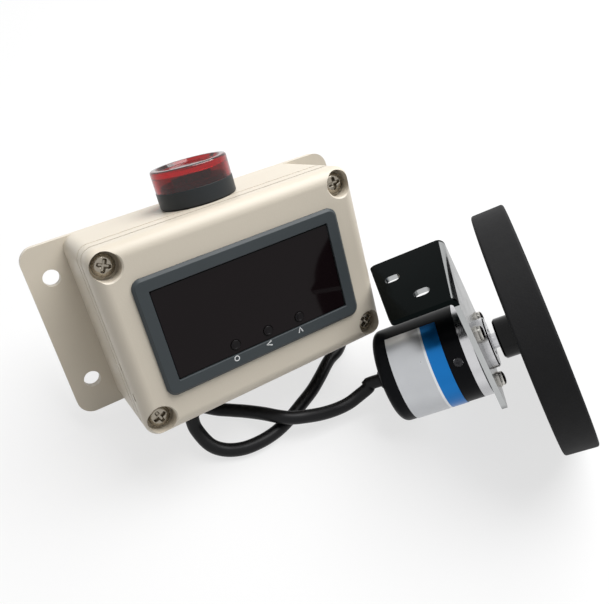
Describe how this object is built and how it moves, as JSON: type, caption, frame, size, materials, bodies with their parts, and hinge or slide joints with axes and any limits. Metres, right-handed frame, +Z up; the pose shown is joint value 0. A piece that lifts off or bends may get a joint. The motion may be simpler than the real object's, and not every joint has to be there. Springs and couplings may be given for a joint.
{
  "type": "cable length counter",
  "caption": "Cable length counter: a leaning display box with buttons and a red beacon, wired to a rotary encoder with a rubber measuring wheel on a bracket.",
  "frame": {"origin": "centre of the bottom of the box around the object, on the surface that it stands on, without the sensor lead", "axes": "+Z up, +X to the right across the display, -Y towards the viewer of the display"},
  "size_m": [0.1922, 0.2105, 0.0957],
  "materials": {
    "ivory_abs": "satin",
    "seam_rubber": "matte",
    "nickel_screws": "satin",
    "slate_abs": "satin",
    "smoked_acrylic": "gloss",
    "grey_plastic": "matte",
    "green_board": "satin",
    "black_plastic": "satin",
    "green_plastic": "satin",
    "red_lens": "gloss",
    "blue_plastic": "satin",
    "black_anodised": "satin",
    "turned_aluminium": "turned",
    "printed_foil": "brushed",
    "ground_steel": "ground",
    "etched_disc": "satin",
    "polished_stainless": "polished",
    "tread_rubber": "matte",
    "lead_sheath": "satin"
  },
  "bodies": {
    "root": {"enclosure_base": "ivory_abs", "enclosure_lid": "ivory_abs", "lid_gasket": "seam_rubber", "lid_screws": "nickel_screws", "meter_case": "slate_abs", "display_window": "smoked_acrylic", "digit_block": "grey_plastic", "display_board": "green_board", "meter_board": "green_board", "pin_headers": "black_plastic", "meter_terminals": "green_plastic", "meter_clips": "grey_plastic", "button_switches": "nickel_screws", "beacon_base": "black_plastic", "beacon_lens": "red_lens", "beacon_lamp": "grey_plastic", "beacon_gasket": "seam_rubber", "beacon_nut": "grey_plastic", "supply_gland": "black_plastic", "supply_gland_seal": "seam_rubber", "supply_gland_nut": "black_plastic", "supply_board": "green_board", "board_screws": "nickel_screws", "terminal_block": "green_plastic", "relay": "blue_plastic", "filter_capacitor": "black_plastic", "encoder_case": "black_anodised", "encoder_flange": "turned_aluminium", "case_screws": "nickel_screws", "encoder_label": "printed_foil", "bearing_outer_rings": "ground_steel", "bearing_balls": "ground_steel", "encoder_board": "green_board", "optical_reader": "black_plastic", "board_pillars": "turned_aluminium", "encoder_bush": "seam_rubber", "bracket": "polished_stainless", "bracket_screws": "nickel_screws", "bracket_washers": "nickel_screws", "lead_grommet": "seam_rubber", "lead_front": "lead_sheath", "lead_loop": "lead_sheath", "lead_coil": "lead_sheath", "lead_ties": "grey_plastic"},
    "wheel": {"wheel_core": "black_anodised", "wheel_tread": "tread_rubber", "wheel_set_screw": "ground_steel", "encoder_shaft": "ground_steel", "bearing_inner_rings": "ground_steel", "code_disc": "etched_disc", "disc_hub": "turned_aluminium"},
    "set_button": {"set_button": "black_plastic"},
    "shift_button": {"shift_button": "black_plastic"},
    "up_button": {"up_button": "black_plastic"}
  },
  "joints": [
    {"name": "wheel_spin", "type": "hinge", "parent": "root", "child": "wheel", "pos_m": [0.06094, -0.03412, 0.04434], "axis": [0.7651, -0.4189, 0.489], "continuous": true},
    {"name": "set_press", "type": "slide", "parent": "root", "child": "set_button", "axis": [0, 0.866, -0.5], "range_m": [0, 0.0004], "stiffness_N_per_m": 400, "springref_m": -0.0005},
    {"name": "shift_press", "type": "slide", "parent": "root", "child": "shift_button", "axis": [0, 0.866, -0.5], "range_m": [0, 0.0004], "stiffness_N_per_m": 400, "springref_m": -0.0005},
    {"name": "up_press", "type": "slide", "parent": "root", "child": "up_button", "axis": [0, 0.866, -0.5], "range_m": [0, 0.0004], "stiffness_N_per_m": 400, "springref_m": -0.0005}
  ]
}
